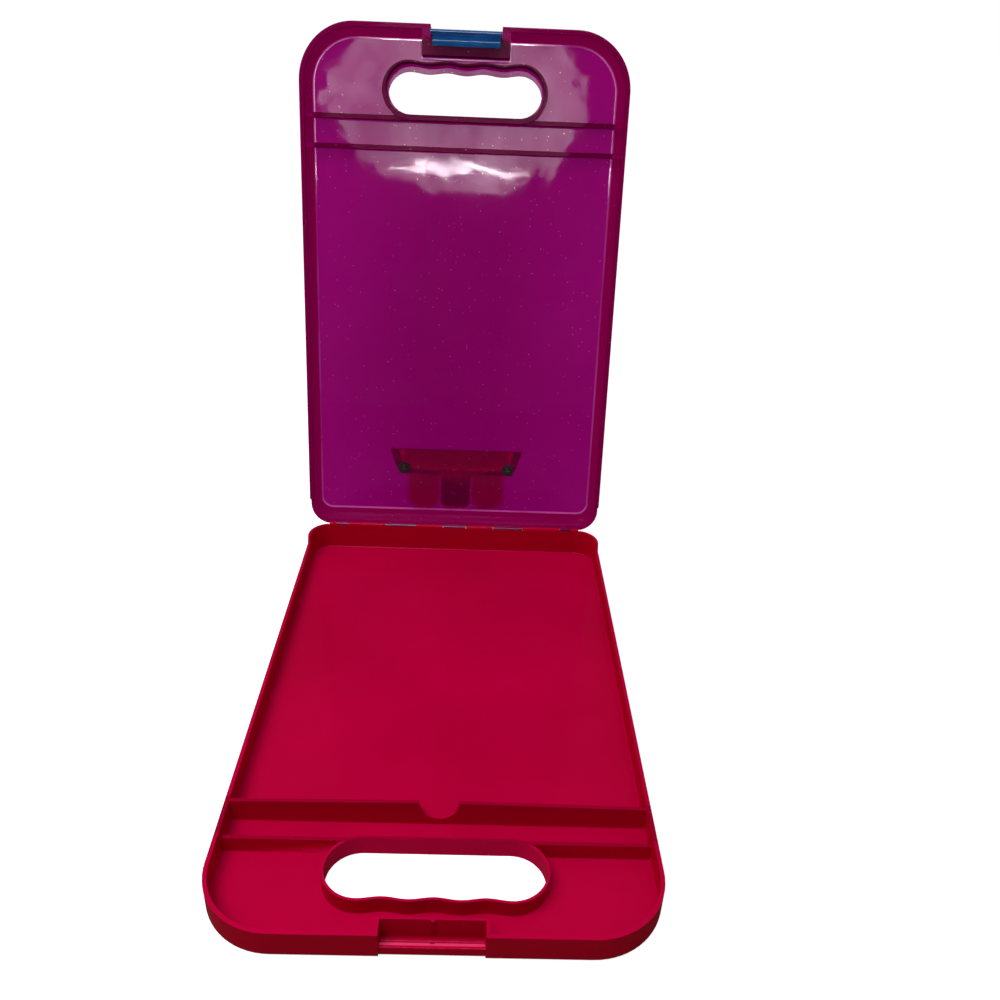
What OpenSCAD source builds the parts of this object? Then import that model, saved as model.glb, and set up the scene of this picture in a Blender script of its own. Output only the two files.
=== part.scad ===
// Storage clipboard box: a shallow tray with a handle hole, a translucent lid hinged at the
// clip end, a latch at the handle end and a low clip riveted to the outside of the lid.
// Origin at the centre of the tray's underside, front (handle end) at -Y, hinge at +Y.

/* [Case] */
// Overall width of tray and lid
case_w = 250; // [236:1:270]
// Overall length of the tray without its hinge knuckles
case_l = 395; // [380:1:420]
// Height of the tray's side and front rim
rim_h = 17.5; // [16.5:0.1:20]
// Height of the tray's raised hinge end
back_h = 24; // [22.5:0.1:26]
// Thickness of the lid from its rim to its outer face
lid_h = 15; // [14.5:0.1:18]
// Plan radius of the two handle-end corners
front_r = 42; // [34:1:46]
// Plan radius of the two hinge-end corners
back_r = 18; // [15:0.5:22]
// Length of the raised hinge end before it slopes down to the rim
raised_l = 20; // [18:0.5:24]
// Angle at which the open lid rests on its stop
open_angle = 101.3; // [96:0.1:106]

/* [Walls] */
// Tray wall thickness
tray_wall = 2.4; // [2:0.1:3]
// Tray floor thickness
floor_t = 2; // [1.6:0.1:2.4]
// Rounding of the tray's lower outer edge
foot_r = 2; // [1:0.1:2.2]
// Fillet between the tray's floor and walls
floor_fillet = 1.2; // [0.8:0.1:2.5]
// Lid wall and skin thickness
lid_wall = 2; // [1.6:0.1:2.2]
// Outer rounding where the lid's walls turn into its face
lid_edge_r = 7.8; // [7:0.1:9]
// Flatter rounding inside that one, which leaves a crisp edge round the lid's floor
lid_inner_r = 12; // [10:0.5:16]
// Width of the lip round the lid's rim
lip_w = 3.4; // [3:0.1:4]
// Thickness of that lip
lip_t = 2.4; // [2:0.1:3]
// How far the lip stands out past the lid's wall
lip_out = 0.8; // [0.4:0.1:1.2]
// Gap between the closed lid's rim and the tray's rim
rim_gap = 0.3; // [0.2:0.05:0.5]

/* [Ribs] */
// Distance from the handle end to the paper stop rib
stop_rib_in = 85.2; // [83:0.1:90]
// Rise of the paper stop rib above the rim in the middle, from where it falls to the sides
stop_rib_up = 1.8; // [1:0.1:2]
// Width of the thumb notch in the paper stop rib
thumb_w = 23.4; // [18:0.1:28]
// Height of the thumb notch's bottom above the table
thumb_z = 6.6; // [5:0.1:9]
// Distance from the handle end to the pen channel rib
pen_rib_in = 62.8; // [60:0.1:65]
// Height of the pen channel rib
pen_rib_h = 12.3; // [10:0.1:14]
// Thickness of the tray's ribs
rib_t = 2.3; // [1.8:0.1:3]
// Depth of the lid's two ribs below its skin
lid_rib_h = 10; // [8:0.1:11]
// Thickness of the lid's two ribs
lid_rib_t = 3.2; // [2:0.1:3.6]
// How far the lid's ribs and hole sit toward the handle end of the tray's
lid_shift = 1.2; // [0.4:0.1:1.6]

/* [Handle] */
// Distance from the handle end to the middle of the handle hole
handle_in = 45.2; // [44:0.1:47]
// Half the length of the handle hole
handle_half = 61.5; // [56:0.5:64]
// Radius of the handle hole's round ends
handle_r = 19.6; // [18:0.1:20]
// Depth of the finger waves on the hole's outer edge
wave_depth = 1.5; // [0.8:0.1:2.2]
// Length of one finger wave
wave_l = 28; // [26:0.5:30]
// Wall of the sleeve round the tray's hole
sleeve_t = 1.6; // [1.3:0.1:2.4]
// Height of the sleeve round the tray's hole
sleeve_h = 12.5; // [10:0.1:14]
// How much smaller the lid's hole is than the tray's
lid_hole_in = 1.3; // [1:0.1:2]
// Lip that the lid's skin keeps inside its sleeve
lid_skin_lip = 1.3; // [1:0.1:1.6]
// Ledge that the lid's skin keeps on the outer side of its hole, under the fingertips
lid_ledge = 4; // [2:0.1:5]

/* [Latch] */
// Half the width of the latch
latch_half = 26.7; // [22:0.1:32]
// Room beside the latch at each end of the tray's recess
recess_side = 0.8; // [0.4:0.1:1.2]
// Depth of the latch recess behind the tray's front face
recess_d = 9.8; // [9.2:0.1:10.6]
// How far the lowered front wall is set back
front_set = 1.1; // [0.8:0.1:1.8]
// Height of the lowered front wall
catch_z = 6.9; // [6:0.1:8]
// How far the catch bead stands into the recess
bead_out = 1.2; // [0.9:0.1:1.4]
// Thickness of the latch's tongue
tongue_t = 1.5; // [1.2:0.1:1.6]
// Angle by which the loose latch tips inward in the open lid
latch_tip = 4.6; // [3.4:0.1:4.8]
// Radius of the latch's trunnions
trunnion_r = 1.6; // [1.2:0.1:2]
// Length of each trunnion
trunnion_l = 1.9; // [1.5:0.1:2.1]
// Side gap between latch and lid
latch_side_gap = 0.3; // [0.25:0.05:0.5]

/* [Hinge] */
// Radius of the hinge knuckles
knuckle_r = 1.9; // [1.8:0.1:2.6]
// Radius of the steel hinge rod
rod_r = 0.8; // [0.7:0.05:0.9]
// Radial running gap between the rod and its knuckles
rod_gap = 0.05; // [0.03:0.01:0.08]
// Half the length of the hinge rod
rod_half = 109.5; // [104.5:0.5:112]
// Side gap between neighbouring knuckles
knuckle_gap = 0.3; // [0.25:0.05:0.5]
// Reach of the lid knuckles' heels, which rest on the tray's back when open
heel_l = 5; // [4:0.1:6]

/* [Clip] */
// Half the width of the clip's jaw
jaw_half = 57; // [48:0.5:62]
// Distance from the hinge edge to the jaw's tip
jaw_v = 67; // [63:0.5:72]
// Distance from the hinge edge to the clip's axle
axle_v = 45.5; // [44:0.5:47]
// Height of the clip's axle above the lid's face
axle_up = 7; // [6.5:0.1:8]
// Radius of the clip's axle
axle_r = 1.5; // [1.2:0.1:1.8]
// Distance from the hinge edge to the thumb lobes' ends
lobe_v = 10; // [6:0.5:14]
// Half the width over the two thumb lobes
lobe_half = 42; // [36:0.5:46]
// Half the width of the gap between the lobes and of the plate's stem
stem_half = 12.5; // [11:0.5:14]
// Thickness of the steel clip plate
plate_t = 1; // [0.8:0.1:1.2]
// Thickness of the plastic lever
lever_t = 2.6; // [2:0.1:3]
// Height of the lobes' ends above the lid's face
lobe_up = 14; // [13:0.5:16]
// Distance from each end of the jaw to its rivet
rivet_in = 12; // [10:0.5:15]
// Distance from the hinge edge to the rivets
rivet_v = 51; // [50:0.5:53]
// Radius of a rivet's shank
rivet_r = 1.9; // [1.6:0.1:2.2]

/* [Hidden] */
$fn = 96;
pink = [0.76, 0.02, 0.24];
violet = [0.50, 0.05, 0.42, 0.6];
blue = [0.10, 0.35, 0.62, 0.75];
steel = [0.72, 0.73, 0.75];
past = 1;
back_y = case_l / 2;
front_y = -case_l / 2;
half_w = case_w / 2;
lid_z = rim_h + rim_gap;
face_z = lid_z + lid_h;
skin_z = face_z - lid_wall;
inner_half = half_w - tray_wall;
slope_l = 4;
step_y = back_y - raised_l;
step_gap = 0.5;

// Hinge line: the rod lies on the tray's back face, at the height where lid and tray meet
hinge_z = back_h + rim_gap / 2;
// Each knuckle as its two ends across half the case, mirrored to the other half
lid_knuckles = [[-10, 10], [34, 60], [93, 103]];
tray_knuckles = [[10, 34], [60, 93], [103, 109.5]];
knuckle_relief = 0.35;

// Handle and ribs
handle_y = front_y + handle_in;
near_y = handle_y - handle_r;
stop_rib_y = front_y + stop_rib_in;
pen_rib_y = front_y + pen_rib_in;
lid_rib_ys = [stop_rib_y + 0.4 - lid_shift, pen_rib_y + 1.4 - lid_shift];
lid_rib_low = max(skin_z - lid_rib_h, rim_h + stop_rib_up + 1);

// Latch recess
recess_half = latch_half + recess_side;
recess_y = front_y + recess_d;
catch_y = front_y + front_set;
trough_y = catch_y + tray_wall;
recess_wall = 1.6;
trough_fillet = 2.6;
gusset_half = 1.05;
bead_low = catch_z - 2 * bead_out;
tongue_gap = 0.3;
tongue_out = trough_y + bead_out + tongue_gap;
nose_y = trough_y + tongue_gap;
nose_top = bead_low - tongue_gap;
tongue_z = floor_t + 0.8;
barrel_r = 4.4;
pivot_y = tongue_out + 4.5;
pivot_z = face_z - 1.1 - barrel_r;
finger_reach = 6.6;
finger_t = 1.8;
bearing_t = 2;
trunnion_gap = 0.06;
pocket_y = pivot_y + barrel_r + 0.5;
pocket_in_y = pocket_y + 6.4;
pocket_wall = 2;
core_w = 2.4;
pocket_half = latch_half + bearing_t + core_w + pocket_wall;
shelf_t = 2;
lug_w = 1.3;
lug_h = 2.5;
lug_y = pivot_y + (tongue_out + tongue_t - pivot_y) * cos(latch_tip)
    + (pivot_z - lid_z) * sin(latch_tip) + 0.15;

// Clip
axle_y = back_y - axle_v;
axle_z = face_z + axle_up;
ear_t = 1.1;
ear_r = 3.2;
boss_r = 3.3;
axle_gap = 0.05;
boss_in = stem_half + ear_t + 0.3;
boss_out = boss_in + 8;
axle_half = boss_out + 1.2;
rivet_y = back_y - rivet_v;
rivet_half = jaw_half - rivet_in;
rivet_gap = 0.1;
rivet_head_r = 4;
rivet_head_h = 1.3;
washer_r = 5;
washer_t = 0.8;
tail_r = 2.6;
tail_h = 0.9;
press_angle = 13;

// Spring
wire_r = 0.6;
coil_r = 2.6;
coil_turns = 7;
coil_pitch = 1.9 * wire_r;

function smooth(t) = t * t * (3 - 2 * t);

// A rounded rectangle with its own corner radii at the handle and hinge ends, inset all round
module outline(inset = 0) {
    rf = front_r - inset;
    rb = back_r - inset;
    w = half_w - inset;
    f = front_y + inset;
    b = back_y - inset;
    for (s = [-1, 1]) {
        translate([s * (w - rf), f + rf]) circle(rf);
        translate([s * (w - rb), b - rb]) circle(rb);
    }
    translate([-w, f + rf]) square([2 * w, b - rb - f - rf]);
    translate([rf - w, f]) square([2 * (w - rf), rf]);
    translate([rb - w, b - rb]) square([2 * (w - rb), rb]);
}

// Sweeps a wall section round the case; the section has x = 0 on the outer face
module round_case() {
    for (s = [0, 1]) {
        translate([s ? rf_x() : half_w - back_r, s ? front_y + front_r : back_y - back_r, 0])
            rotate([0, 0, s ? 180 : 0]) rotate_extrude(angle = 90)
            translate([s ? front_r : back_r, 0]) children();
        mirror([1, 0, 0])
            translate([s ? rf_x() : half_w - back_r, s ? front_y + front_r : back_y - back_r, 0])
            rotate([0, 0, s ? 180 : 0]) rotate_extrude(angle = 90)
            translate([s ? front_r : back_r, 0]) children();
    }
    for (s = [0, 1]) mirror([s, 0, 0])
        translate([half_w, back_y - back_r, 0]) rotate([90, 0, 0])
            linear_extrude(case_l - front_r - back_r) children();
    translate([back_r - half_w, back_y, 0]) rotate([90, 0, 90])
        linear_extrude(case_w - 2 * back_r) children();
    translate([half_w - front_r, front_y, 0]) rotate([90, 0, 270])
        linear_extrude(case_w - 2 * front_r) children();
}
function rf_x() = front_r - half_w;

// The handle hole: round ends, a straight edge to the paper side, finger waves to the outside
module handle_hole(grow = 0) {
    r = handle_r + grow;
    span = handle_half - handle_r;
    steps = 48;
    for (s = [-1, 1]) translate([s * span, handle_y]) circle(r);
    polygon(concat(
        [[span, handle_y + r], [-span, handle_y + r]],
        [for (i = [0 : steps]) let (x = span * (2 * i / steps - 1))
            [x, near_y - grow + wave_depth * (1 + cos(360 * x / wave_l)) / 2 - wave_end()]]
    ));
}
function wave_end() = wave_depth * (1 + cos(360 * (handle_half - handle_r) / wave_l)) / 2;

// The parting line seen from the side: low along the case, rising to the raised hinge end
function parting(lift) = concat(
    [for (i = [0 : 8]) [step_y - slope_l + slope_l * i / 8,
        rim_h + lift + (back_h - rim_h) * smooth(i / 8)]]
);
module side_slab(points) {
    translate([-half_w - past, 0, 0]) rotate([90, 0, 90])
        linear_extrude(case_w + 2 * past) polygon(points);
}

// Knuckle segments, each as a call to the child with its ends in $from and $to
module across(segments) {
    for (k = segments) {
        $from = k[0] + knuckle_gap / 2;
        $to = k[1] - knuckle_gap / 2;
        children();
        if (k[0] > 0) mirror([1, 0, 0]) children();
    }
}
module bar_x(from, to, r) {
    translate([from, 0, 0]) rotate([0, 90, 0]) cylinder(r = r, h = to - from, $fn = 48);
}

// A side profile drawn in y and z, drawn out between two x positions
module along_x(from, to) {
    translate([from, 0, 0]) rotate([90, 0, 90]) linear_extrude(to - from) children();
}
// Turns the closed lid's parts about the hinge line into the open position
module opened() {
    translate([0, back_y, hinge_z]) rotate([-open_angle, 0, 0])
        translate([0, -back_y, -hinge_z]) children();
}

// Tray
module tray_section() {
    difference() {
        union() {
            translate([-tray_wall, foot_r]) square([tray_wall, back_h - foot_r]);
            translate([-foot_r, foot_r]) circle(foot_r);
            translate([-tray_wall - floor_fillet, 0])
                square([tray_wall + floor_fillet - foot_r, floor_t + floor_fillet]);
        }
        translate([-tray_wall - floor_fillet, floor_t + floor_fillet]) circle(floor_fillet);
    }
}
module tray_ribs() {
    half = inner_half + 0.5;
    low = rim_h - 0.3;
    difference() {
        translate([0, stop_rib_y + rib_t, 0]) rotate([90, 0, 0]) linear_extrude(rib_t)
            polygon([[-half, 1], [half, 1], [half, low], [0, rim_h + stop_rib_up], [-half, low]]);
        translate([0, stop_rib_y - past, thumb_z + thumb_w / 2]) rotate([-90, 0, 0])
            cylinder(d = thumb_w, h = rib_t + 2 * past);
    }
    translate([-half, pen_rib_y, 1]) cube([2 * half, rib_t, pen_rib_h - 1]);
}
module recess_cut() {
    difference() {
        translate([front_y - past, -past]) square([recess_d + past, rim_h + 2 * past]);
        translate([catch_y, foot_r]) square([tray_wall, catch_z - foot_r - 0.7]);
        translate([catch_y + 0.7, catch_z - 0.7]) circle(0.7);
        translate([catch_y + 0.7, foot_r]) square([tray_wall - 0.7, catch_z - foot_r]);
        translate([catch_y + foot_r, foot_r]) circle(foot_r);
        translate([catch_y + foot_r, 0]) square([recess_d, floor_t]);
        difference() {
            translate([recess_y - trough_fillet, 0]) square(trough_fillet + floor_t);
            translate([recess_y - trough_fillet, floor_t + trough_fillet]) circle(trough_fillet);
        }
    }
}
module recess_block() {
    along_x(-recess_half - 2, recess_half + 2)
        translate([front_y + foot_r, 0]) square([recess_d + recess_wall - foot_r, rim_h]);
}
module recess_details() {
    for (s = [0, 1]) mirror([s, 0, 0])
        translate([0, trough_y, catch_z - bead_out]) bar_x(1.3, recess_half + 0.5, bead_out);
    along_x(-gusset_half, gusset_half)
        polygon([[recess_y + 0.5, catch_z - 0.5], [recess_y - 0.2, catch_z - 0.5],
            [recess_y - 1.2, rim_h], [recess_y + 0.5, rim_h]]);
}
module base_tray() color(pink) difference() {
    union() {
        difference() {
            union() {
                difference() {
                    round_case() tray_section();
                    side_slab(concat([[front_y - past, rim_h]], parting(0),
                        [[step_y, back_h + past], [front_y - past, back_h + past]]));
                }
                linear_extrude(floor_t) outline(tray_wall + floor_fillet - 0.5);
                tray_ribs();
                linear_extrude(sleeve_h) handle_hole(sleeve_t);
                recess_block();
            }
            along_x(-recess_half, recess_half) recess_cut();
            translate([0, 0, -past]) linear_extrude(rim_h + 2 * past) handle_hole();
        }
        recess_details();
        across(tray_knuckles) translate([0, back_y, hinge_z]) along_x($from, $to) {
            circle(knuckle_r);
            polygon([[-1, 0], [knuckle_r * cos(30), -knuckle_r / 2], [0, -7], [-1, -7]]);
        }
    }
    across(lid_knuckles) translate([0, back_y, hinge_z])
        bar_x($from - knuckle_gap, $to + knuckle_gap, knuckle_r + knuckle_relief);
    translate([0, back_y, hinge_z]) bar_x(-rod_half - past, rod_half + past, rod_r + rod_gap);
}

// Hinge rod
module hinge_rod() color(steel) translate([0, back_y, hinge_z]) bar_x(-rod_half, rod_half, rod_r);

// Lid, modelled closed
function lid_parting(lift) =
    [for (p = parting(rim_gap + lift)) [p[0] - step_gap, p[1]]];
module lid_section() {
    low = face_z - lid_edge_r;
    in_x = -lip_out - lid_edge_r;
    span = lid_edge_r - lid_wall;
    mid = span / 2 - sqrt(lid_inner_r * lid_inner_r / 2 - span * span / 4);
    difference() {
        union() {
            translate([in_x - 1, lid_z]) square([lid_edge_r + 1, low - lid_z]);
            translate([in_x - 1, low]) square([1, lid_edge_r]);
            translate([in_x, low]) intersection() {
                circle(lid_edge_r);
                square(lid_edge_r);
            }
        }
        intersection() {
            union() {
                translate([in_x + mid, low + mid]) circle(lid_inner_r);
                translate([in_x - 1 - past, lid_z - past])
                    square([lid_edge_r + past, low - lid_z + past / 2]);
            }
            translate([in_x - 1 - past, lid_z - past])
                square([span + 1 + past, skin_z - lid_z + past]);
        }
    }
}
module lid_lip() {
    intersection() {
        translate([0, 0, lid_z - past]) linear_extrude(back_h + lip_t) difference() {
            outline();
            outline(lip_w);
        }
        side_slab(concat(
            [[front_y - past, lid_z]], lid_parting(0), [[back_y + past, back_h + rim_gap],
            [back_y + past, back_h + rim_gap + lip_t]],
            [for (i = [8 : -1 : 0]) lid_parting(lip_t)[i]], [[front_y - past, lid_z + lip_t]]
        ));
    }
}
module lid_rib() {
    low = face_z - lid_edge_r;
    round_x = half_w - lip_out - lid_edge_r;
    intersection() {
        union() {
            translate([-round_x, low - past]) square([2 * round_x, skin_z + 1 - low + past]);
            for (s = [-1, 1]) translate([s * round_x, low]) circle(lid_edge_r - 1);
            translate([-half_w + lip_out + 1, lid_z])
                square([2 * (half_w - lip_out - 1), low - lid_z]);
        }
        translate([-half_w, lid_rib_low]) square([case_w, lid_h]);
    }
}
module pocket_block() {
    low = face_z - lid_edge_r;
    end_y = front_y + lip_out;
    translate([end_y, lid_z]) square([pocket_in_y - end_y, low - lid_z]);
    intersection() {
        translate([end_y + lid_edge_r, low]) circle(lid_edge_r);
        translate([front_y, lid_z]) square([lid_h, lid_h]);
    }
    translate([end_y + lid_edge_r, lid_z])
        square([pocket_in_y - end_y - lid_edge_r, lid_h]);
}
module pocket_cuts() {
    inner_y = pocket_in_y - pocket_wall;
    translate([-latch_half, front_y - past, lid_z + shelf_t])
        cube([2 * latch_half, inner_y - front_y + past, lid_h]);
    translate([-latch_half, front_y - past, lid_z - past])
        cube([2 * latch_half, pocket_y - front_y + past, lid_h]);
    for (s = [0, 1]) mirror([s, 0, 0]) {
        translate([latch_half + bearing_t, pivot_y - 2, lid_z + shelf_t])
            cube([core_w, inner_y - pivot_y + 2, lid_h]);
        translate([0, pivot_y, pivot_z])
            bar_x(latch_half - past, latch_half + bearing_t + 0.5, trunnion_r + trunnion_gap);
    }
}
module latch_lugs() {
    for (s = [0, 1]) mirror([s, 0, 0]) translate([latch_half - lug_w, lug_y, lid_z])
        cube([lug_w + 0.5, pocket_y - lug_y + 0.5, lug_h]);
}
module lid_closed() difference() {
    union() {
        difference() {
            union() {
                round_case() lid_section();
                translate([0, 0, skin_z]) linear_extrude(lid_wall)
                    outline(lip_out + lid_edge_r + 0.5);
                for (y = lid_rib_ys) translate([0, y + lid_rib_t, 0])
                    rotate([90, 0, 0]) linear_extrude(lid_rib_t) lid_rib();
                translate([0, 0, lid_z]) linear_extrude(lid_h - 0.5)
                    handle_hole(1.2);
            }
            side_slab(concat([[front_y - past, rim_h], [front_y - past, lid_z]], lid_parting(0),
                [[back_y + past, back_h + rim_gap], [back_y + past, rim_h]]));
            translate([0, -lid_shift, lid_z - past]) linear_extrude(lid_h + past - lid_wall)
                handle_hole(-lid_hole_in);
            translate([0, -lid_shift, lid_z]) linear_extrude(lid_h + past) intersection() {
                handle_hole(-lid_hole_in - lid_skin_lip);
                translate([0, lid_ledge]) handle_hole(-lid_hole_in - lid_skin_lip);
            }
            for (s = [-1, 1]) translate([s * rivet_half, rivet_y, skin_z - past])
                cylinder(r = rivet_r + rivet_gap, h = lid_wall + 2 * past);
        }
        lid_lip();
        along_x(-pocket_half, pocket_half) pocket_block();
        across(lid_knuckles) translate([0, back_y, hinge_z]) along_x($from, $to) {
            heel = open_angle - 87;
            circle(knuckle_r);
            polygon([[-1, 0], [0, 0], [heel_l * cos(heel), heel_l * sin(heel)],
                [-4.2, 6], [-1.2, 1]]);
        }
    }
    pocket_cuts();
    across(tray_knuckles) translate([0, back_y, hinge_z])
        bar_x($from - knuckle_gap, $to + knuckle_gap, knuckle_r + knuckle_relief);
    translate([0, back_y, hinge_z]) bar_x(-rod_half - past, rod_half + past, rod_r + rod_gap);
}
module lid_shell() color(violet) opened() {
    lid_closed();
    latch_lugs();
}

// Latch, drawn engaged with the catch bead and then tipped inward
module latch_profile() {
    tip_r = 1.2;
    tip_y = tongue_out + tongue_t - tip_r;
    translate([pivot_y, pivot_z]) circle(barrel_r);
    translate([tongue_out, tongue_z + tip_r]) square([tongue_t, pivot_z - tongue_z - tip_r]);
    translate([tongue_out, tongue_z]) square([tongue_t - tip_r, tip_r + past]);
    translate([tip_y, tongue_z + tip_r]) circle(tip_r);
    polygon([[tongue_out + 0.2, tongue_z], [tongue_out, tongue_z],
        [nose_y, nose_top - 0.5], [nose_y, nose_top], [tongue_out + 0.2, nose_top]]);
    translate([pivot_y - 2.5, face_z - finger_t]) square([finger_reach + 2.5, finger_t]);
}
module latch() color(blue) opened()
    translate([0, pivot_y, pivot_z]) rotate([latch_tip, 0, 0])
    translate([0, -pivot_y, -pivot_z]) {
        half = latch_half - latch_side_gap;
        along_x(-half, half) latch_profile();
        translate([0, pivot_y, pivot_z]) bar_x(-half - trunnion_l, half + trunnion_l, trunnion_r);
    }

// Clip, on the outside of the lid
module plate_plan() {
    polygon([
        [-jaw_half, back_y - jaw_v], [jaw_half, back_y - jaw_v],
        [jaw_half - 5, back_y - axle_v - 7], [jaw_half - 8, back_y - axle_v],
        [stem_half, back_y - axle_v], [stem_half, back_y - 19], [stem_half - 4, back_y - 15],
        [4 - stem_half, back_y - 15], [-stem_half, back_y - 19], [-stem_half, back_y - axle_v],
        [8 - jaw_half, back_y - axle_v], [5 - jaw_half, back_y - axle_v - 7],
    ]);
}
module clip_plate() color(steel) opened() difference() {
    union() {
        translate([0, 0, face_z]) linear_extrude(plate_t) plate_plan();
        for (s = [0, 1]) mirror([s, 0, 0]) translate([stem_half, axle_y, face_z]) {
            translate([-0.4, -ear_r, 0]) cube([ear_t + 0.4, 2 * ear_r, plate_t]);
            translate([0, -ear_r, 0]) cube([ear_t, 2 * ear_r, axle_up]);
            translate([0, 0, axle_up]) bar_x(0, ear_t, ear_r);
        }
    }
    translate([0, axle_y, axle_z]) bar_x(-case_w / 4, case_w / 4, axle_r + axle_gap);
    for (s = [-1, 1]) translate([s * rivet_half, rivet_y, face_z - past])
        cylinder(r = rivet_r + rivet_gap, h = plate_t + 2 * past);
}
module lever_side() {
    t = plate_t + 0.3;
    hump = axle_up + boss_r + 0.3;
    translate([back_y, face_z]) polygon([
        [-jaw_v, t], [-jaw_v, t + 1.6], [-axle_v - 10.5, axle_up - 1.4], [-axle_v - 4.5, axle_up + 0.2],
        [-axle_v - 2, hump - 0.7], [-axle_v + 2.5, hump], [-lobe_v, lobe_up],
        [-lobe_v, lobe_up - lever_t], [-axle_v + 3.5, hump - lever_t],
        [-axle_v - 0.5, axle_up - 1.1], [-axle_v - 4.5, axle_up - 2.4],
        [-axle_v - 10.5, axle_up - 3.8], [2.5 - jaw_v, t],
    ]);
}
module lever_plan() {
    lobe_r = 12;
    mid_y = back_y - lobe_v - lobe_r;
    bridge_y = back_y - axle_v - 4;
    polygon([[-jaw_half, back_y - jaw_v], [jaw_half, back_y - jaw_v],
        [jaw_half - 9, bridge_y], [9 - jaw_half, bridge_y]]);
    for (s = [0, 1]) mirror([s, 0, 0]) {
        translate([boss_in, bridge_y - 1]) square([lobe_half - boss_in, mid_y - bridge_y + 1]);
        for (x = [boss_in + lobe_r, lobe_half - lobe_r]) translate([x, mid_y]) circle(lobe_r);
        translate([boss_in + lobe_r, mid_y])
            square([lobe_half - boss_in - 2 * lobe_r, lobe_r]);
    }
}
module clip_lever() color(pink) opened() difference() {
    union() {
        intersection() {
            along_x(-jaw_half - past, jaw_half + past) lever_side();
            translate([0, 0, face_z]) linear_extrude(2 * lobe_up) lever_plan();
        }
        for (s = [0, 1]) mirror([s, 0, 0]) translate([0, axle_y, axle_z])
            bar_x(boss_in, boss_out, boss_r);
    }
    translate([0, axle_y, axle_z]) bar_x(-axle_half - past, axle_half + past, axle_r + axle_gap);
}
module clip_axle() color(steel) opened() translate([0, axle_y, axle_z])
    bar_x(-axle_half, axle_half, axle_r);
module wire(from, to) {
    d = to - from;
    translate(from) rotate([0, acos(d[2] / norm(d)), atan2(d[1], d[0])])
        cylinder(r = wire_r, h = norm(d), $fn = 24);
}
module clip_spring() color(steel) opened() translate([0, axle_y, axle_z]) {
    half = coil_pitch * (coil_turns - 1) / 2;
    low = plate_t + wire_r + 0.05 - axle_up;
    difference() {
        union() {
            bar_x(-half - 0.5, half + 0.5, coil_r + 0.2);
            for (i = [0 : coil_turns - 1]) translate([i * coil_pitch - half, 0, 0])
                bar_x(-0.7 * wire_r, 0.7 * wire_r, coil_r + wire_r);
        }
        bar_x(-half - past, half + past, coil_r - wire_r);
    }
    wire([-half, 0, -coil_r], [-half, 14, low]);
    wire([half, 0, coil_r], [half, -9.5, axle_up - 7.3]);
}
module rivet(s) color(steel) opened() translate([s * rivet_half, rivet_y, 0]) {
    top = face_z + plate_t;
    low = skin_z - washer_t;
    translate([0, 0, low - tail_h]) cylinder(r1 = tail_r - 0.5, r2 = tail_r, h = tail_h);
    translate([0, 0, low - 0.1]) cylinder(r = rivet_r, h = top - low + 0.2);
    translate([0, 0, top]) cylinder(r = rivet_head_r, h = rivet_head_h / 2);
    translate([0, 0, top + rivet_head_h / 2])
        cylinder(r1 = rivet_head_r, r2 = rivet_head_r - 1, h = rivet_head_h / 2);
}
module washer(s) color(steel) opened() translate([s * rivet_half, rivet_y, skin_z - washer_t])
    difference() {
        cylinder(r = washer_r, h = washer_t);
        translate([0, 0, -past]) cylinder(r = rivet_r + rivet_gap, h = washer_t + 2 * past);
    }
module rivet_left() rivet(-1);
module rivet_right() rivet(1);
module washer_left() washer(-1);
module washer_right() washer(1);

base_tray();
lid_shell();
latch();
hinge_rod();
clip_plate();
clip_lever();
clip_axle();
clip_spring();
rivet_left();
rivet_right();
washer_left();
washer_right();
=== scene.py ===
import bpy, math
from mathutils import Vector, Matrix

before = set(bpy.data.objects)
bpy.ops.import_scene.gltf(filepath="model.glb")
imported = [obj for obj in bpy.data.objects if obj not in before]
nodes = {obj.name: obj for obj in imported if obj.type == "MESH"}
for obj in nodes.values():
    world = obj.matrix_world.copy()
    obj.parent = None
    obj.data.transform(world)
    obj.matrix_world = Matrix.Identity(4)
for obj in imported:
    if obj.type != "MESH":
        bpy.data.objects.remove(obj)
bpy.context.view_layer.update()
scene = bpy.context.scene
scene.view_settings.view_transform = "Standard"

# Where the materials follow the part's shape, in metres in its frame
HINGE_Y, HINGE_Z = 0.1975, 0.02415
LID_OPEN = math.radians(101.3)
RIBS_Y, RIBS_REACH, RIBS_LOW = -0.122, 0.0135, 0.0115
BEAD_Y, BEAD_Z, BEAD_HALF = -0.1935, 0.0062, 0.0272
SLEEVE_Y, SLEEVE_HALF, SLEEVE_R = -0.1523, 0.0419, 0.0199
# On the lid: distance from the middle line or the hinge edge, and height in the closed case
PLATE_MID, PLATE_HALF_LONG, PLATE_HALF_WIDE = 0.1999, 0.1865, 0.1164
CORNER_AT_HINGE, CORNER_AT_HANDLE = 0.0094, 0.0334
PLATE_HEIGHT, RIM_HEIGHT, FACE_HEIGHT = 0.0304, 0.0300, 0.0312
POCKET_HALF, POCKET_AT = 0.0334, 0.3739
FLAKES_PER_METRE = 1250

SOCKETS = {"base": "Base Color", "rough": "Roughness", "metal": "Metallic",
           "trans": "Transmission Weight", "ior": "IOR", "spec": "Specular IOR Level",
           "tint": "Specular Tint", "normal": "Normal", "coat": "Coat Weight",
           "coat_rough": "Coat Roughness", "coat_ior": "Coat IOR",
           "coat_normal": "Coat Normal"}


def lin(*rgb):
    """An sRGB colour in bytes, as linear values"""
    return tuple(((v / 255 + 0.055) / 1.055) ** 2.4 if v > 10 else v / 255 / 12.92
                 for v in rgb)


def with_alpha(value):
    return (*value, 1) if isinstance(value, tuple) and len(value) == 3 else value


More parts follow.
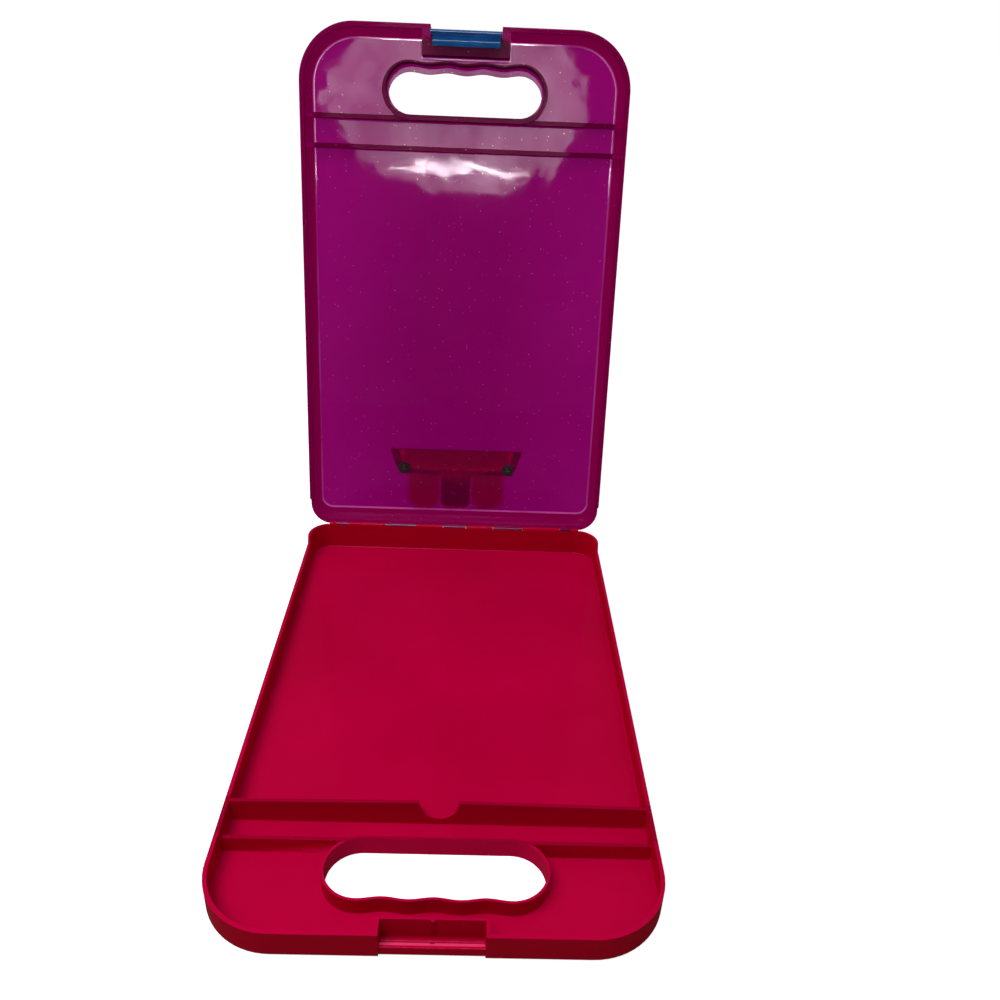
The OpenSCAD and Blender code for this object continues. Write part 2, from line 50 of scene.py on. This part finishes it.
class Tree:
    """Short names for the nodes of one material or world"""

    def __init__(self, node_tree):
        self.t = node_tree

    def new(self, kind, **props):
        n = self.t.nodes.new(kind)
        for k, v in props.items():
            setattr(n, k, v)
        return n

    def put(self, socket, value):
        if isinstance(value, bpy.types.NodeSocket):
            self.t.links.new(value, socket)
        else:
            socket.default_value = with_alpha(value)

    def split(self, vector):
        n = self.new("ShaderNodeSeparateXYZ")
        self.put(n.inputs[0], vector)
        return n.outputs

    def calc(self, op, a, b=0.0, clamp=False):
        n = self.new("ShaderNodeMath", operation=op, use_clamp=clamp)
        self.put(n.inputs[0], a)
        self.put(n.inputs[1], b)
        return n.outputs[0]

    def add(self, a, b):
        return self.calc("ADD", a, b)

    def sub(self, a, b):
        return self.calc("SUBTRACT", a, b)

    def mul(self, a, b):
        return self.calc("MULTIPLY", a, b)

    def larger(self, a, b):
        return self.calc("MAXIMUM", a, b)

    def absolute(self, a):
        return self.calc("ABSOLUTE", a)

    def length(self, a, b):
        return self.calc("POWER", self.add(self.mul(a, a), self.mul(b, b)), 0.5)

    def within(self, value, middle, reach):
        near = self.calc("COMPARE", value, middle)
        near.node.inputs[2].default_value = reach
        return near

    def span(self, value, a, b, c, d):
        """From a to b, value is taken to c to d"""
        n = self.new("ShaderNodeMapRange")
        names = ("Value", "From Min", "From Max", "To Min", "To Max")
        for s, v in zip(names, (value, a, b, c, d)):
            self.put(n.inputs[s], v)
        return n.outputs["Result"]

    def blend(self, share, a, b):
        """Between two numbers, where mix is for colours"""
        return self.add(self.mul(share, b), self.mul(self.sub(1.0, share), a))

    def mix(self, share, a, b):
        n = self.new("ShaderNodeMix", data_type="RGBA")
        self.put(n.inputs["Factor"], share)
        for s, v in (("A", a), ("B", b)):
            self.put([i for i in n.inputs if i.name == s and i.type == "RGBA"][0], v)
        return [o for o in n.outputs if o.type == "RGBA"][0]


class Mat(Tree):
    """A material whose patterns stay with its piece"""

    def __init__(self, name):
        self.m = bpy.data.materials.new(name)
        self.m.use_nodes = True
        super().__init__(self.m.node_tree)
        self.p = self.t.nodes["Principled BSDF"]
        place = self.new("ShaderNodeTexCoord").outputs
        self.at, self.facing = place["Object"], place["Normal"]

    def set(self, **values):
        for k, v in values.items():
            self.put(self.p.inputs[SOCKETS[k]], v)

    def noise(self, scale, detail=3, rough=0.5, vec=None, dist=0):
        n = self.new("ShaderNodeTexNoise")
        n.inputs["Scale"].default_value = scale
        n.inputs["Detail"].default_value = detail
        n.inputs["Roughness"].default_value = rough
        n.inputs["Distortion"].default_value = dist
        self.put(n.inputs["Vector"], vec or self.at)
        return n.outputs["Fac"]

    def vary(self, scale, detail, low, high):
        return self.span(self.noise(scale, detail), 0.3, 0.7, low, high)

    def stretch(self, x, y, z):
        n = self.new("ShaderNodeMapping")
        n.inputs["Scale"].default_value = (x, y, z)
        self.put(n.inputs["Vector"], self.at)
        return n.outputs["Vector"]

    def voronoi(self, scale, out="Distance"):
        n = self.new("ShaderNodeTexVoronoi")
        n.inputs["Scale"].default_value = scale
        self.put(n.inputs["Vector"], self.at)
        return n.outputs[out]

    def chance(self, scale):
        """One random number for each cell of voronoi(scale)"""
        n = self.new("ShaderNodeSeparateColor")
        self.put(n.inputs[0], self.voronoi(scale, "Color"))
        return n.outputs["Red"]

    def bump(self, height, strength, distance, normal=None):
        n = self.new("ShaderNodeBump")
        n.inputs["Strength"].default_value = strength
        n.inputs["Distance"].default_value = distance
        self.put(n.inputs["Height"], height)
        if normal is not None:
            self.put(n.inputs["Normal"], normal)
        return n.outputs["Normal"]


# Materials
def plastic(name, light, dark, side, end, rough, spec):
    """Moulded plastic: light and dark patches on flat faces, and painted shade on upright
    ones, one tone where they face sideways and another where they face the ends
    """
    m = Mat(name)
    facing, at = m.split(m.facing), m.split(m.at)
    flat = m.span(m.absolute(facing["Z"]), 0.3, 0.8, 0, 1)
    lengthways = m.span(m.absolute(facing["Y"]), 0.3, 0.8, 0, 1)
    below = m.span(facing["Z"], -0.5, -0.1, 1, 0)
    # Painted shade: upright faces take the side or end tone, by which way they face
    tone = m.mix(flat, m.mix(lengthways, side, end), m.mix(m.vary(9, 3, 0, 1), light, dark))
    # Painted shade: faces that look downward are coloured darker
    tone = m.mix(below, tone, lin(118, 0, 26))
    # Painted shade: the two ribs have rounded tops, coloured darker than other flat faces
    painted_rib_top_shade = m.mul(m.within(at["Y"], RIBS_Y, RIBS_REACH),
                m.mul(flat, m.calc("GREATER_THAN", at["Z"], RIBS_LOW)))
    tone = m.mix(m.mul(painted_rib_top_shade, 0.75), tone, lin(140, 0, 36))
    # Painted light: the inner face of the handle sleeve's far wall is coloured brighter, as
    # if light came through it
    along = m.larger(m.sub(m.absolute(at["X"]), SLEEVE_HALF), 0)
    across = m.sub(at["Y"], SLEEVE_Y)
    sleeve = m.mul(m.calc("LESS_THAN", m.length(along, across), SLEEVE_R),
                   m.mul(m.span(across, 0, 0.006, 0, 1), m.sub(1.0, flat)))
    tone = m.mix(sleeve, tone, lin(201, 0, 65))
    # The latch has polished the bead that it catches to a full coat of gloss; its light pink
    # colour is a painted highlight
    bead = m.mul(m.within(at["Y"], BEAD_Y, 0.0015),
                 m.mul(m.within(at["X"], 0.0, BEAD_HALF), m.within(at["Z"], BEAD_Z, 0.001)))
    m.set(base=m.mix(bead, tone, lin(236, 60, 110)), spec=spec, tint=(1, 0.05, 0.2),
          rough=m.vary(35, 4, rough - 0.05, rough + 0.07),
          coat=m.span(bead, 0, 1, 0.1, 1.0), coat_rough=0.08,
          normal=m.bump(m.noise(420, 2), 0.25, 0.00004, m.bump(m.noise(14, 2), 1.0, 0.0002)))
    return m


def steel(name, tint=(0.62, 0.62, 0.64), rough=0.3):
    """Plated steel with a grain along X"""
    m = Mat(name)
    grain = m.noise(60, 3, vec=m.stretch(1, 14, 14))
    stain = m.span(m.noise(45, 4), 0.35, 0.7, 0, 1)
    m.set(base=m.mix(stain, tint, tuple(c * 0.72 for c in tint)),
          metal=1.0, rough=m.span(grain, 0.3, 0.7, rough - 0.08, rough + 0.12),
          normal=m.bump(grain, 0.3, 0.00003))
    return m


def painted_steel():
    """Steel under a crimson coat that is worn thin in places"""
    m = steel("painted plate steel", (0.45, 0.45, 0.47))
    worn = m.span(m.noise(120, 5, rough=0.7), 0.68, 0.74, 0, 1)
    metal = m.p.inputs["Base Color"].links[0].from_socket
    m.set(base=m.mix(worn, lin(215, 6, 56), metal), metal=worn, spec=0.2)
    return m


def clear_blue():
    m = Mat("blue clear plastic")
    m.set(base=m.mix(m.vary(60, 3, 0, 1), lin(50, 125, 195), lin(10, 95, 165)),
          trans=0.55, rough=m.vary(300, 3, 0.12, 0.24), ior=1.46,
          normal=m.bump(m.noise(200, 2), 0.3, 0.00004))
    return m


def on_lid(m):
    """Distance from the lid's middle line and from its hinge edge, and height when closed"""
    at = m.split(m.at)
    y, z = m.sub(at["Y"], HINGE_Y), m.sub(at["Z"], HINGE_Z)
    sin, cos = math.sin(LID_OPEN), math.cos(LID_OPEN)
    from_hinge = m.sub(m.mul(z, sin), m.mul(y, cos))
    height = m.add(m.add(m.mul(y, sin), m.mul(z, cos)), HINGE_Z)
    return m.absolute(at["X"]), from_hinge, height


def glitter_lid():
    """Translucent violet with flakes. The ribs, sleeve and pocket stand inside the plate's
    outline, below it in the closed case, and the walls stand round it; all of these are
    coloured darker than the plate as painted shade."""
    m = Mat("violet glitter plastic")
    x, v, height = on_lid(m)
    # How far outside the plate's rounded outline a point lies
    radius = m.span(m.calc("GREATER_THAN", v, 0.2), 0, 1, CORNER_AT_HINGE, CORNER_AT_HANDLE)
    end = m.absolute(m.sub(v, PLATE_MID))
    past_side = m.larger(m.add(m.sub(x, PLATE_HALF_WIDE), radius), 0)
    past_end = m.larger(m.add(m.sub(end, PLATE_HALF_LONG), radius), 0)
    edge = m.sub(m.length(past_side, past_end), radius)
    plate = m.mul(m.span(height, PLATE_HEIGHT, PLATE_HEIGHT + 0.0003, 0, 1),
                  m.span(edge, -0.0002, 0.0004, 1, 0))
    inside = m.mul(m.span(edge, -0.0016, -0.001, 1, 0),
                   m.span(height, RIM_HEIGHT, RIM_HEIGHT + 0.0003, 1, 0))
    # Painted light: the plate's tone is lighter towards its long sides
    tone = m.mix(m.span(x, 0.03, 0.115, 0, 1), lin(146, 0, 108), lin(162, 6, 124))
    tone = m.mix(m.mul(m.vary(7, 3, 0, 1), 0.35), tone, lin(137, 0, 99))
    # Painted shade: the walls are coloured darker than the plate, and the ribs, sleeve and
    # pocket inside its outline darker still
    tone = m.mix(plate, m.mix(inside, lin(146, 0, 82), lin(94, 0, 46)), tone)

    # A painted highlight line runs round the plate's inner face and round the latch's
    # pocket, with a small ridge in the bump under it
    pocket = m.larger(m.sub(x, POCKET_HALF), m.sub(POCKET_AT, v))
    away = m.calc("MINIMUM", m.absolute(m.add(edge, 0.0003)), m.absolute(pocket))
    line = m.mul(m.span(away, 0.0003, 0.0009, 1, 0),
                 m.span(height, PLATE_HEIGHT - 0.0006, PLATE_HEIGHT + 0.0002, 0, 1))
    line = m.mul(line, m.span(height, FACE_HEIGHT, FACE_HEIGHT + 0.0006, 1, 0))
    ridge = m.bump(line, 1.0, 0.00005)
    line = m.mul(line, m.span(m.noise(14, 3), 0.35, 0.65, 0.15, 0.8))
    # The painted highlight line is strongest at the hinge edge and towards the handle end
    painted_highlight_strength = m.larger(m.span(v, 0.28, 0.36, 0.5, 1.2), m.span(v, 0.016, 0.022, 2.0, 0.5))
    line = m.calc("MULTIPLY", line, painted_highlight_strength, clamp=True)
    flake = m.mul(m.calc("LESS_THAN", m.voronoi(FLAKES_PER_METRE), 0.46),
                  m.span(m.chance(FLAKES_PER_METRE), 0.994, 0.999, 0, 1))
    # Flakes have a light pink colour of their own; the painted highlight line takes the same
    # colour and more coat
    flakes_and_painted_highlight = m.larger(m.mul(flake, m.span(plate, 0, 1, 0.25, 1.0)), line)

    # The plate's gloss is cloudy, and the knuckles shine
    cloudy = m.span(m.noise(24, 3, rough=0.6), 0.35, 0.65, 0.4, 1.0)
    gloss = m.mul(m.span(plate, 0, 1, 0.015, 0.165), cloudy)
    gloss = m.larger(m.larger(gloss, flakes_and_painted_highlight), m.span(v, 0.003, 0.005, 0.25, 0))
    clear = m.sub(m.span(plate, 0, 1, 0.7, 0.8), m.mul(inside, 0.5))
    waves = m.bump(m.noise(16, 3, dist=0.6), 1.0, 0.0006)
    gloss_waves = m.bump(m.noise(20, 2, dist=0.4), 1.0, 0.0003, ridge)
    m.set(base=m.mix(flakes_and_painted_highlight, tone, (1.0, 0.45, 1.0)), trans=clear, ior=1.13, spec=0.2,
          rough=m.span(plate, 0, 1, 0.4, 0.85), tint=(1, 0.03, 0.5),
          normal=m.bump(m.noise(170, 2), 0.12, 0.00005, waves),
          coat=gloss, coat_rough=0.04, coat_ior=2.0,
          coat_normal=m.bump(m.noise(45, 3), 1.0, 0.00005, gloss_waves))
    return m


# Flat tones light and dark, then the painted shade tones of upright faces, sideways and
# endways
tray = plastic("crimson plastic", lin(190, 0, 60), lin(176, 0, 52),
               lin(190, 0, 36), lin(170, 0, 31), 0.32, 0.02)
lever = plastic("crimson lever plastic", lin(236, 2, 66), lin(220, 0, 58),
                lin(236, 2, 62), lin(236, 2, 62), 0.45, 0.2)
lever.set(trans=0.92, ior=1.3)
rivet = steel("rivet steel", (0.22, 0.21, 0.22), 0.2)
washer = steel("washer steel", (0.05, 0.04, 0.045), 0.4)
looks = {"base_tray": tray, "lid_shell": glitter_lid(), "latch": clear_blue(),
         "hinge_rod": steel("rod steel"), "clip_plate": painted_steel(), "clip_lever": lever,
         "clip_axle": steel("axle steel"),
         "clip_spring": steel("spring steel", (0.55, 0.55, 0.56)),
         "rivet_left": rivet, "rivet_right": rivet,
         "washer_left": washer, "washer_right": washer}
for name, mat in looks.items():
    o = nodes[name]
    o.data.materials.clear()
    o.data.materials.append(mat.m)
    with bpy.context.temp_override(object=o, active_object=o, selected_editable_objects=[o],
                                   selected_objects=[o]):
        bpy.ops.object.shade_smooth_by_angle(angle=math.radians(32))

# Floor: white to the eye and through clear pieces, darker to what it lights and to a gloss
SEEN_GLOW, SHADE, BOUNCE, MIRRORED = 0.75, 0.85, 0.32, 0.08
bpy.ops.mesh.primitive_plane_add(size=30, location=(0, 0, -0.0004))
floor = bpy.context.object
floor.name = "floor"
fm = Mat("floor white")
fm.t.nodes.remove(fm.p)
path = fm.new("ShaderNodeLightPath").outputs
seen = fm.calc("ADD", path["Is Camera Ray"], path["Is Transmission Ray"], clamp=True)
white = fm.mix(path["Is Diffuse Ray"], (SHADE,) * 3, (BOUNCE,) * 3)
diffuse = fm.new("ShaderNodeBsdfDiffuse")
fm.put(diffuse.inputs["Color"], fm.mix(path["Is Glossy Ray"], white, (MIRRORED,) * 3))
glow = fm.new("ShaderNodeEmission")
fm.put(glow.inputs["Strength"], fm.mul(seen, SEEN_GLOW))
both = fm.new("ShaderNodeAddShader")
fm.put(both.inputs[0], diffuse.outputs[0])
fm.put(both.inputs[1], glow.outputs[0])
fm.put(fm.t.nodes["Material Output"].inputs["Surface"], both.outputs[0])
floor.data.materials.append(fm.m)

# World: brighter overhead than at the horizon, darker where a gloss mirrors it, white behind
SKY_LOW, SKY_TOP = 0.08, 0.5
GLOSS_LOW, GLOSS_TOP = 0.1, 0.4
scene.world = bpy.data.worlds.new("studio")
scene.world.use_nodes = True
sky = Tree(scene.world.node_tree)
path = sky.new("ShaderNodeLightPath").outputs
upward = sky.split(sky.new("ShaderNodeTexCoord").outputs["Generated"])["Z"]
level = sky.blend(path["Is Glossy Ray"], sky.span(upward, 0.0, 1.0, SKY_LOW, SKY_TOP),
                  sky.span(upward, 0.85, 0.95, GLOSS_LOW, GLOSS_TOP))
seen = sky.larger(path["Is Camera Ray"], path["Is Transmission Ray"])
background = sky.t.nodes["Background"]
sky.put(background.inputs["Strength"], sky.blend(seen, level, 1.0))
sky.put(background.inputs["Color"], (1, 1, 1))


# Lamps: the key lights the case, and the other two only show in its gloss
def lamp(name, at, to, size, power, shape="RECTANGLE"):
    d = bpy.data.lights.new(name, "AREA")
    d.shape = shape
    d.size, d.size_y = size
    d.energy = power
    o = bpy.data.objects.new(name, d)
    scene.collection.objects.link(o)
    o.location = at
    o.rotation_mode = "QUATERNION"
    o.rotation_quaternion = (Vector(to) - Vector(at)).to_track_quat("-Z", "Y")
    o.visible_camera = False
    return o


LID_MIDDLE = (0, 0.26, 0.33)
lamp("key", (-0.36, -0.4, 1.05), (0, -0.05, 0.0), (0.95, 0.6), 9.3)
panel = lamp("panel", (-0.06, -1.75, 0.985), LID_MIDDLE, (0.75, 0.49), 8.1, "ELLIPSE")
strip = lamp("strip", (-0.05, -1.7, 0.785), LID_MIDDLE, (0.42, 0.016), 1.9, "ELLIPSE")
for o in (panel, strip):
    o.data.color = (1.0, 0.84, 0.97)
    o.visible_diffuse = False

# Camera, fitted to the photograph: focal length in pixels, angles in radians
FOCAL, PIXELS, SENSOR = 903.58, 1000, 36
CAMERA_AT = (0.01202, -0.48833, 0.42951)
PITCH, YAW, ROLL = 0.51139, 0.02649, 0.04296
forward = Vector((math.sin(YAW) * math.cos(PITCH), math.cos(YAW) * math.cos(PITCH),
                  -math.sin(PITCH)))
level_right = Vector((math.cos(YAW), -math.sin(YAW), 0))
level_up = level_right.cross(forward)
right = math.cos(ROLL) * level_right + math.sin(ROLL) * level_up
up = -math.sin(ROLL) * level_right + math.cos(ROLL) * level_up
cam = bpy.data.objects.new("camera", bpy.data.cameras.new("camera"))
scene.collection.objects.link(cam)
cam.data.sensor_width = SENSOR
cam.data.lens = FOCAL * SENSOR / PIXELS
cam.data.shift_x, cam.data.shift_y = 0.01051, 0.00775
cam.data.clip_start = 0.02
pose = Matrix((right, up, -forward)).transposed().to_4x4()
pose.translation = CAMERA_AT
cam.matrix_world = pose
scene.camera = cam
